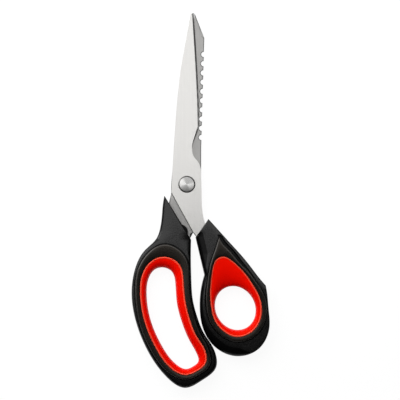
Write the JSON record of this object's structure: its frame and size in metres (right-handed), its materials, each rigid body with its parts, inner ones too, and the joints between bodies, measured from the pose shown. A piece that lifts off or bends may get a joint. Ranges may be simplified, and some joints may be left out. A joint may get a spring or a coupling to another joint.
{
  "type": "kitchen shears",
  "caption": "Closed kitchen shears with a notched front blade, a scalloped rear spine, a pivot screw and black handles with red-lined thumb and finger loops.",
  "frame": {"origin": "on the pivot axis, at the level of the surface that the shears lie on", "axes": "+Y along the closed blades to their tips, +X towards the thumb ring, +Z along the pivot axis, out of the face with the screw's head"},
  "size_m": [0.0925, 0.2514, 0.012],
  "materials": {
    "front_blade_steel": "satin stainless steel, ground along the blade",
    "rear_blade_steel": "satin stainless steel, ground along the blade",
    "handle_black": "hard black moulding with a fine grain",
    "collar_black": "black moulding, slightly softer sheen",
    "liner_red": "soft red elastomer",
    "bumper_rubber": "black rubber",
    "pivot_steel": "turned face with a spun finish",
    "spring_steel": "spring steel",
    "washer_plastic": "natural plastic"
  },
  "bodies": {
    "finger_half": {"finger_blade": "rear_blade_steel", "finger_handle": "handle_black", "finger_collar": "collar_black", "finger_liner": "liner_red", "closing_bumper": "bumper_rubber", "pivot_screw": "pivot_steel", "pivot_nut": "pivot_steel", "spring_washer": "spring_steel", "friction_washer": "washer_plastic"},
    "thumb_half": {"thumb_blade": "front_blade_steel", "thumb_handle": "handle_black", "thumb_collar": "collar_black", "thumb_liner": "liner_red"}
  },
  "joints": [
    {"name": "pivot", "type": "hinge", "parent": "finger_half", "child": "thumb_half", "pos_m": [0, 0, 0.006], "axis": [0, 0, 1], "range_deg": [0, 75]}
  ]
}
